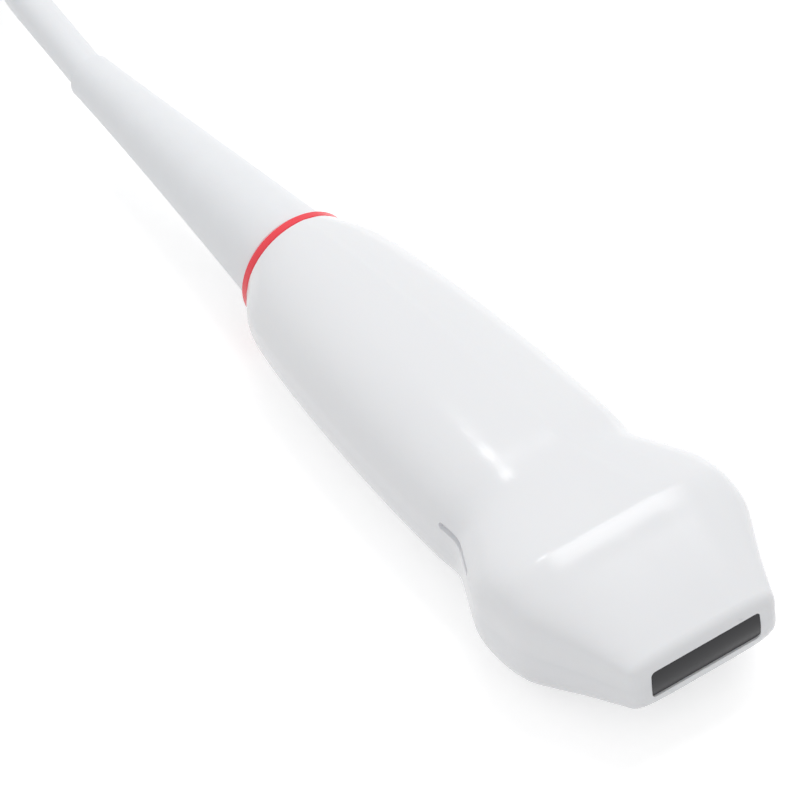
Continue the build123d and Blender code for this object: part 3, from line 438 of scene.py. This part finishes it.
@dataclass
class Studio:
    """The pale floor, the soft lamps and the camera at the photograph's angle.

    Attributes:
        target_mm: The point that the camera was placed about.
        azimuth: Camera azimuth in degrees.
        elevation: Camera elevation in degrees.
        roll: Camera roll in degrees.
        distance_mm: From the camera to that point.
        focal_px: Focal length in pixels of the 800 pixel frame.
        centre_px: Where that point lies in the frame.
        frame_px: The frame's side.
        sensor_mm: The sensor's side.
        far_clip: How far the camera sees, in metres.
        floor_size: The floor's side in metres.
        floor_drop_mm: How far the floor lies below the object.
        floor_albedo: How much light the floor sends back.
        floor_glow: What is added to the floor for the eye alone.
        sky: How strongly the room lights the object.
    """

    target_mm: tuple[float, float, float] = (32.0, 0.0, 12.9)
    azimuth: float = 57.951
    elevation: float = 45.233
    roll: float = -5.158
    distance_mm: float = 1484.61
    focal_px: float = 8758.115
    centre_px: tuple[float, float] = (494.965, 455.006)
    frame_px: float = 800.0
    sensor_mm: float = 36.0
    far_clip: float = 100.0
    floor_size: float = 12.0
    floor_drop_mm: float = 0.1
    floor_albedo: float = 0.78
    floor_glow: float = 0.5
    sky: float = 0.59

    def camera(self) -> None:
        """Places the camera so that the object falls where it does in the photograph."""
        around, above, tilt = (math.radians(a) for a in (self.azimuth, self.elevation, self.roll))
        back = Vector((
            math.sin(around) * math.cos(above), -math.cos(around) * math.cos(above), math.sin(above)
        ))
        level = Vector((0, 0, 1)).cross(back).normalized()
        upright = back.cross(level)
        right = level * math.cos(tilt) + upright * math.sin(tilt)
        up = upright * math.cos(tilt) - level * math.sin(tilt)
        half = self.frame_px / 2
        ahead = right * (half - self.centre_px[0]) + up * (self.centre_px[1] - half)
        ahead = (ahead - back * self.focal_px).normalized()
        right = ahead.cross(up).normalized()
        up = right.cross(ahead)
        select_only()
        bpy.ops.object.camera_add()
        camera = bpy.context.object
        turn = Matrix((right, up, -ahead)).transposed().to_4x4()
        spot = (Vector(self.target_mm) + back * self.distance_mm) * MM
        camera.matrix_world = Matrix.Translation(spot) @ turn
        camera.data.sensor_width = self.sensor_mm
        camera.data.lens = self.focal_px * self.sensor_mm / self.frame_px
        camera.data.clip_end = self.far_clip
        bpy.context.scene.camera = camera

    def seen_rays(self, tree: bpy.types.NodeTree) -> bpy.types.NodeSocket:
        """One for rays that carry the background to the eye, and nought for those that light.

        Args:
            tree: The node tree that needs it.

        Returns:
            The socket with that number.
        """
        path = add_node(tree, "ShaderNodeLightPath")
        seen = path.outputs["Is Camera Ray"]
        for name in ("Is Glossy Ray", "Is Transmission Ray"):
            both = add_node(
                tree, "ShaderNodeMath", links={0: seen, 1: path.outputs[name]}, operation="MAXIMUM"
            )
            seen = both.outputs["Value"]
        return seen

    def floor(self) -> bpy.types.Object:
        """The plain white floor, which still takes the object's shadow.

        Returns:
            The floor.
        """
        select_only()
        bpy.ops.mesh.primitive_plane_add(
            size=self.floor_size, location=(0, 0, -self.floor_drop_mm * MM)
        )
        floor = bpy.context.object
        floor.name = "floor"
        paper = bpy.data.materials.new("white paper floor")
        paper.use_nodes = True
        tree = paper.node_tree
        tree.nodes.clear()
        shade = self.floor_albedo
        matt = add_node(tree, "ShaderNodeBsdfDiffuse", {"Color": (shade, shade, shade, 1.0)})
        lift = add_node(
            tree,
            "ShaderNodeMath",
            {1: self.floor_glow},
            {0: self.seen_rays(tree)},
            operation="MULTIPLY",
        )
        glow = add_node(tree, "ShaderNodeEmission", links={"Strength": lift.outputs["Value"]})
        both = add_node(
            tree,
            "ShaderNodeAddShader",
            links={0: matt.outputs["BSDF"], 1: glow.outputs["Emission"]},
        )
        add_node(tree, "ShaderNodeOutputMaterial", links={"Surface": both.outputs["Shader"]})
        floor.data.materials.append(paper)
        return floor

    def backdrop(self) -> None:
        """A white room: full white to the eye, and a plain even light on the object."""
        world = bpy.data.worlds.new("white room")
        bpy.context.scene.world = world
        world.use_nodes = True
        tree = world.node_tree
        tree.nodes.clear()
        level = add_node(
            tree,
            "ShaderNodeMapRange",
            {"To Min": self.sky, "To Max": 1.0},
            {"Value": self.seen_rays(tree)},
        )
        sky = add_node(
            tree,
            "ShaderNodeBackground",
            {"Color": (1.0, 1.0, 1.0, 1.0)},
            {"Strength": level.outputs["Result"]},
        )
        add_node(tree, "ShaderNodeOutputWorld", links={"Surface": sky.outputs["Background"]})

    def build(self) -> None:
        """Sets up the view settings, the camera, the room and the lamps."""
        bpy.context.scene.view_settings.view_transform = "Standard"
        self.camera()
        self.backdrop()
        self.floor()
        for lamp in LAMPS:
            lamp.hang()
        LOG.info("studio set")


@dataclass
class Cable:
    """The cable from the strain relief to the connector, wound into a hank that a strap ties.

    All sizes are in millimetres. The offsets run from the strain relief's tip, or from the
    hank's last run. Each turn is given by its column and its layer.
    """

    diameter: float = 7.0
    length: float = 1980.0
    tip: tuple[float, float, float] = (-91.989, 0.0, 11.872)
    inside: tuple[tuple[float, float, float], ...] = ((14.0, 0.0, 0.4), (7.0, 0.0, 0.21))
    to_hank: tuple[tuple[float, float, float], ...] = (
        (0.0, 0.0, 0.0),
        (-6.0, 0.75, -0.2),
        (-17.0, 2.05, -0.8),
        (-29.0, 3.7, -2.0),
        (-45.0, 9.0, -5.2),
        (-62.5, 17.8, -7.28),
        (-77.0, 21.0, -7.372),
    )
    hank_start: tuple[float, float, float] = (-182.989, -7.2, 4.5)
    run: float = 50.0
    inner_radius: float = 21.1
    pitch: float = 7.1
    turns: tuple[tuple[int, int], ...] = (
        (1, 0), (0, 0), (0, 1), (1, 1), (1, 2), (0, 2), (0, 3), (1, 3)
    )
    steps_per_turn: int = 26
    shift_share: float = 0.17
    shift_lead: float = 0.05
    last_run_shares: tuple[float, ...] = (0.0, 0.25, 0.5, 0.75)
    steps_per_point: int = 6
    steps_round: int = 8
    to_plug: tuple[tuple[float, float, float], ...] = (
        (0.0, 0.0, 0.0),
        (-9.0, 0.0, 0.0),
        (-19.5, -1.9, 0.0),
        (-30.0, -6.2, 0.0),
        (-40.5, -11.6, -0.7),
        (-51.0, -15.9, -1.7),
        (-61.5, -17.5, -2.1),
        (-71.5, -17.5, -2.1),
        (-84.0, -17.5, -2.1),
    )

    def track(self, share: float, radius: float, height: float) -> Vector:
        """A point on one turn of the hank.

        Args:
            share: How far round the turn, from the start of its first run.
            radius: The radius of its ends there.
            height: Its height there.

        Returns:
            The point in millimetres.
        """
        start_x, middle_y, _ = self.hank_start
        bend = math.pi * (self.inner_radius + self.pitch / 2)
        along = share * 2 * (self.run + bend)
        if along < self.run:
            return Vector((start_x - along, middle_y + radius, height))
        along -= self.run
        if along < bend:
            turn = math.pi * along / bend
            far_x = start_x - self.run - radius * math.sin(turn)
            return Vector((far_x, middle_y + radius * math.cos(turn), height))
        along -= bend
        if along < self.run:
            return Vector((start_x - self.run + along, middle_y - radius, height))
        turn = math.pi * (along - self.run) / bend
        near_x = start_x + radius * math.sin(turn)
        return Vector((near_x, middle_y - radius * math.cos(turn), height))

    def wound(self) -> list[Vector]:
        """The hank's turns: each eases over to the next one's place before it gets there.

        Returns:
            Points in millimetres, in order along the cable.
        """
        points = []
        for index, (here, after) in enumerate(zip(self.turns, self.turns[1:])):
            shift_end = 1.0 - index * self.shift_lead
            for step in range(self.steps_per_turn):
                share = step / self.steps_per_turn
                ease = (share - shift_end + self.shift_share) / self.shift_share
                ease = min(max(ease, 0.0), 1.0)
                ease = ease * ease * (3.0 - 2.0 * ease)
                column = here[0] + (after[0] - here[0]) * ease
                layer = here[1] + (after[1] - here[1]) * ease
                radius = self.inner_radius + self.pitch * column
                points.append(self.track(share, radius, self.hank_start[2] + self.pitch * layer))
        return points

    def route(self) -> list[Vector]:
        """The cable's whole route.

        Returns:
            Points in millimetres, from inside the strain relief to inside the connector.
        """
        tip = Vector(self.tip)
        points = [tip + Vector(offset) for offset in self.inside + self.to_hank]
        points += self.wound()
        column, layer = self.turns[-1]
        radius = self.inner_radius + self.pitch * column
        height = self.hank_start[2] + self.pitch * layer
        start_x, middle_y, _ = self.hank_start
        for share in self.last_run_shares:
            points.append(Vector((start_x - self.run * share, middle_y + radius, height)))
        leave = Vector((start_x - self.run, middle_y + radius, height))
        return points + [leave + Vector(offset) for offset in self.to_plug]

    def cord(self) -> bpy.types.Object:
        """Lays the cable as one smooth spline.


        Returns:
            The cable.
        """
        data = bpy.data.curves.new("cable", "CURVE")
        data.dimensions = "3D"
        spline = data.splines.new("NURBS")
        points = self.route()
        spline.points.add(len(points) - 1)
        for point, place in zip(spline.points, points):
            point.co = (*(place * MM), 1.0)
        spline.order_u = 3
        spline.use_endpoint_u = True
        spline.resolution_u = self.steps_per_point
        data.bevel_depth = self.diameter / 2 * MM
        data.bevel_resolution = self.steps_round
        data.use_fill_caps = True
        cable = bpy.data.objects.new("cable", data)
        bpy.context.scene.collection.objects.link(cable)
        data.materials.append(WHITE_PVC.material())
        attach(cable, "probe")
        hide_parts("cable_probe_run", "cable_hank", "cable_plug_run")
        LOG.info("cable laid")
        return cable


@dataclass
class Strap:
    """The woven strap round the hank, with its end laid over the top and sewn down.

    All sizes are in millimetres. The cable centres are those at the corners of the hank, as
    the strap meets them from the middle of the top run.
    """

    middle_x: float = -207.989
    width: float = 16.0
    thickness: float = 0.9
    stand_off: float = 4.05
    cable_centres: tuple[tuple[float, float], ...] = (
        (-33.2, 25.8), (-35.4, 18.7), (-35.4, 4.5), (21.0, 4.5), (21.0, 25.8)
    )
    steps_per_corner: int = 6
    start_y: float = 0.0
    lap_y: float = 8.0
    lap_ramp: float = 2.5
    tail_y: float = -18.0
    edge_radius: float = 0.25
    weld: float = 0.001
    stitch: tuple[float, float, float] = (1.7, 0.5, 0.4)
    stitch_edge: float = 0.18
    stitch_rows_y: tuple[float, ...] = (-15.5, -11.5, -1.0, 3.0)
    stitch_pitch: float = 2.4
    stitches_per_row: int = 6

    def facing(self, here: tuple[float, float], after: tuple[float, float]) -> float:
        """The direction that the strap faces on the run from one cable to the next.

        Args:
            here: Centre of the first cable.
            after: Centre of the next one.

        Returns:
            Its angle in radians, from +Y towards +Z.
        """
        return math.atan2(here[0] - after[0], after[1] - here[1])

    def path(self) -> list[Vector]:
        """The strap's middle line, from under the lap once round to the end of its tail.

        Returns:
            Points in millimetres.
        """
        top = self.cable_centres[0][1] + self.stand_off
        points = [Vector((self.middle_x, self.start_y, top))]
        count = len(self.cable_centres)
        for index, centre in enumerate(self.cable_centres):
            first = self.facing(self.cable_centres[index - 1], centre)
            last = self.facing(centre, self.cable_centres[(index + 1) % count])
            if last < first:
                last += math.tau
            for step in range(self.steps_per_corner + 1):
                angle = first + (last - first) * step / self.steps_per_corner
                across = centre[0] + self.stand_off * math.cos(angle)
                height = centre[1] + self.stand_off * math.sin(angle)
                points.append(Vector((self.middle_x, across, height)))
        lapped = top + self.thickness
        points.append(Vector((self.middle_x, self.lap_y, top)))
        points.append(Vector((self.middle_x, self.lap_y - self.lap_ramp, lapped)))
        points.append(Vector((self.middle_x, self.tail_y, lapped)))
        return points

    def band(self) -> bpy.types.Object:
        """Draws one edge along the path and gives the sheet its thickness.

        Returns:
            The strap without its stitches.
        """
        points = self.path()
        select_only()
        bpy.ops.mesh.primitive_plane_add(size=self.width * MM, location=points[0] * MM)
        band = bpy.context.object
        band.name = "hank_strap"
        bpy.ops.object.transform_apply(location=True)
        bpy.ops.object.mode_set(mode="EDIT")
        bpy.ops.mesh.select_all(action="SELECT")
        bpy.ops.transform.resize(value=(1, 0, 1), center_override=points[0] * MM)
        bpy.ops.mesh.remove_doubles(threshold=self.weld * MM)
        for here, after in zip(points, points[1:]):
            step = (after - here) * MM
            bpy.ops.mesh.extrude_edges_move(TRANSFORM_OT_translate={"value": step})
        bpy.ops.mesh.select_all(action="SELECT")
        bpy.ops.mesh.normals_make_consistent(inside=False)
        bpy.ops.object.mode_set(mode="OBJECT")
        apply_modifier(band, "SOLIDIFY", thickness=self.thickness * MM, offset=0.0)
        apply_modifier(band, "BEVEL", width=self.edge_radius * MM, segments=2)
        band.data.materials.append(WEBBING.material())
        return band

    def stitches(self) -> list[bpy.types.Object]:
        """Models one stitch and copies it along the rows that hold the lap.

        Returns:
            The stitches.
        """
        under = self.cable_centres[0][1] + self.stand_off + self.thickness / 2
        top = under + self.thickness
        select_only()
        bpy.ops.mesh.primitive_cube_add(size=MM)
        model = bpy.context.object
        model.scale = self.stitch
        bpy.ops.object.transform_apply(scale=True)
        apply_modifier(model, "BEVEL", width=self.stitch_edge * MM, segments=3)
        model.data.materials.append(THREAD.material())
        middle = (self.stitches_per_row - 1) / 2
        made = []
        for row in self.stitch_rows_y:
            for index in range(self.stitches_per_row):
                across = self.middle_x + (index - middle) * self.stitch_pitch
                select_only(model)
                bpy.ops.object.duplicate(linked=False)
                copy = bpy.context.object
                copy.location = Vector((across, row, top)) * MM
                bpy.ops.object.transform_apply(location=True)
                made.append(copy)
        bpy.data.objects.remove(model)
        return made

    def build(self) -> bpy.types.Object:
        """Sews the stitches to the strap.

        Returns:
            The finished strap.
        """
        stitches = self.stitches()
        band = self.band()
        select_only(band)
        for stitch in stitches:
            stitch.select_set(True)
        bpy.ops.object.join()
        bpy.ops.object.shade_smooth_by_angle(angle=SMOOTH_BELOW)
        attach(band, "probe")
        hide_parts("hank_tie")
        LOG.info("strap sewn")
        return band


@dataclass
class Screws:
    """Cross-head screws for the connector: four that close it and one in its knob.

    All sizes are in millimetres.
    """

    plug: tuple[float, float] = (-370.489, -7.2)
    boss_reach: tuple[float, float] = (34.0, 22.0)
    boss_seat: float = 13.0
    knob_seat: float = 48.5
    head_radius: float = 1.9
    head_height: float = 1.5
    head_edge: float = 0.4
    shank_radius: float = 1.0
    shank_length: float = 9.0
    recess_reach: float = 1.15
    recess_width: float = 0.5
    recess_depth: float = 0.9
    sides: int = 40

    def cutter(self) -> bpy.types.Object:
        """The cross that the driver fits.

        Returns:
            Two crossed bars, ready to cut with.
        """
        bars = []
        for turn in (0.0, math.pi / 2):
            select_only()
            bpy.ops.mesh.primitive_cube_add(
                size=MM, location=(0, 0, self.head_height * MM), rotation=(0, 0, turn)
            )
            bar = bpy.context.object
            bar.scale = (2 * self.recess_reach, self.recess_width, 2 * self.recess_depth)
            bpy.ops.object.transform_apply(location=True, rotation=True, scale=True)
            bars.append(bar)
        apply_modifier(bars[0], "BOOLEAN", operation="UNION", object=bars[1])
        bpy.data.objects.remove(bars[1])
        return bars[0]

    def model(self) -> bpy.types.Object:
        """One screw, its head seated on the origin and its shank below.

        Returns:
            The screw.
        """
        select_only()
        bpy.ops.mesh.primitive_cylinder_add(
            vertices=self.sides,
            radius=self.head_radius * MM,
            depth=self.head_height * MM,
            location=(0, 0, self.head_height / 2 * MM),
        )
        screw = bpy.context.object
        bpy.ops.object.transform_apply(location=True)
        self.select_face(screw, -1.0)
        bpy.ops.mesh.inset(thickness=(self.head_radius - self.shank_radius) * MM)
        bpy.ops.mesh.extrude_region_move(
            TRANSFORM_OT_translate={"value": (0, 0, -self.shank_length * MM)}
        )
        self.select_face(screw, 1.0)
        bpy.ops.mesh.bevel(offset=self.head_edge * MM, segments=4, affect="EDGES")
        bpy.ops.object.mode_set(mode="OBJECT")
        cross = self.cutter()
        apply_modifier(screw, "BOOLEAN", operation="DIFFERENCE", object=cross)
        bpy.data.objects.remove(cross)
        screw.data.materials.append(STEEL.material())
        return screw

    def select_face(self, screw: bpy.types.Object, facing: float) -> None:
        """Selects the screw's flat top or underside in edit mode.

        Args:
            screw: The screw.
            facing: One for the top and minus one for the underside.
        """
        select_only(screw)
        bpy.ops.object.mode_set(mode="EDIT")
        bpy.ops.mesh.select_mode(type="FACE")
        bpy.ops.mesh.select_all(action="DESELECT")
        bpy.ops.object.mode_set(mode="OBJECT")
        for face in screw.data.polygons:
            face.select = face.normal.z * facing > FLAT
        bpy.ops.object.mode_set(mode="EDIT")

    def copy(
        self, model: bpy.types.Object, spot: Sequence[float], turn: float
    ) -> bpy.types.Object:
        """Puts a copy of the screw in its hole.

        Args:
            model: The screw to copy.
            spot: Where its head seats, in millimetres.
            turn: Its turn about X in radians.

        Returns:
            The copy.
        """
        select_only(model)
        bpy.ops.object.duplicate(linked=False)
        screw = bpy.context.object
        screw.location = Vector(spot) * MM
        screw.rotation_euler = (turn, 0, 0)
        bpy.ops.object.transform_apply(location=True, rotation=True)
        return screw

    def build(self) -> list[bpy.types.Object]:
        """Fits all five screws.

        Returns:
            The four connector screws as one piece, then the knob's screw.
        """
        model = self.model()
        places = [
            (self.plug[0] + along * self.boss_reach[0], self.plug[1] + across * self.boss_reach[1])
            for along in (-1, 1)
            for across in (-1, 1)
        ]
        closing = [self.copy(model, (*place, self.boss_seat), math.pi) for place in places]
        knob = self.copy(model, (*self.plug, self.knob_seat), 0.0)
        bpy.data.objects.remove(model)
        select_only(closing[0])
        for screw in closing:
            screw.select_set(True)
        bpy.ops.object.join()
        rides = (
            (closing[0], "connector_crosshead_screws", "connector_screws", "probe"),
            (knob, "knob_crosshead_screw", "knob_screw", "lock"),
        )
        for piece, name, node, body in rides:
            piece.name = name
            select_only(piece)
            bpy.ops.object.shade_smooth_by_angle(angle=SMOOTH_BELOW)
            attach(piece, body)
            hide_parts(node)
            LOG.info("fitted %s", name)
        return [closing[0], knob]


@dataclass
class Dressing:
    """Which finish each piece of the frame gets.

    Attributes:
        finishes: Finish by node name.
    """

    finishes: dict[str, Finish]

    def dress(self) -> None:
        """Gives each node its material."""
        for name, finish in self.finishes.items():
            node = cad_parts[name]
            if not node.material_slots:
                node.data.materials.append(None)
            for slot in node.material_slots:
                slot.material = finish.material()
            LOG.info("dressed %s in %s", name, finish.name)


HANDLE = Dressing({
    "housing_top": WHITE_ABS,
    "housing_bottom": WHITE_ABS,
    "marker_ring": RED_ABS,
    "strain_relief": WHITE_TPR,
    "acoustic_lens": DARK_SILICONE,
    "matching_layer_outer": EPOXY,
    "matching_layer_inner": EPOXY,
    "element_array": CERAMIC,
    "backing_block": LOADED_EPOXY,
    "array_carrier": BLACK_NYLON,
    "flex_circuit_top": POLYIMIDE,
    "flex_circuit_bottom": POLYIMIDE,
    "flex_sockets": BLACK_NYLON,
    "interconnect_board": SOLDER_MASK,
    "tuning_coils": BLACK_NYLON,
    "signal_chips": BLACK_NYLON,
    "shield_sleeve": TINPLATE,
    "coax_fan": COPPER_CORES,
    "cable_clamp": STEEL,
    "clamp_screws": STEEL,
    "cable_end": WHITE_PVC,
})
CONNECTOR = Dressing({
    "cable_plug_end": WHITE_PVC,
    "connector_boot": WHITE_TPR,
    "connector_base": DARK_ABS,
    "connector_cover": WHITE_ABS,
    "contact_block": BLACK_NYLON,
    "contact_pins": GOLD,
    "connector_board": SOLDER_MASK,
    "connector_coax_fan": COPPER_CORES,
    "shaft_bush": STEEL,
    "lock_shaft": STEEL,
    "shaft_clip": STEEL,
    "lock_knob": GREY_ABS,
})


def main() -> None:
    """Builds the studio and dresses the probe."""
    logging.basicConfig(level=logging.INFO, format="%(name)s: %(message)s")
    Studio().build()
    HANDLE.dress()
    CONNECTOR.dress()
    carried = [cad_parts[name] for name in CONNECTOR.finishes]
    carried.append(Strap().build())
    carried.extend(Screws().build())
    Cable().cord()


if __name__ == "__main__":
    main()
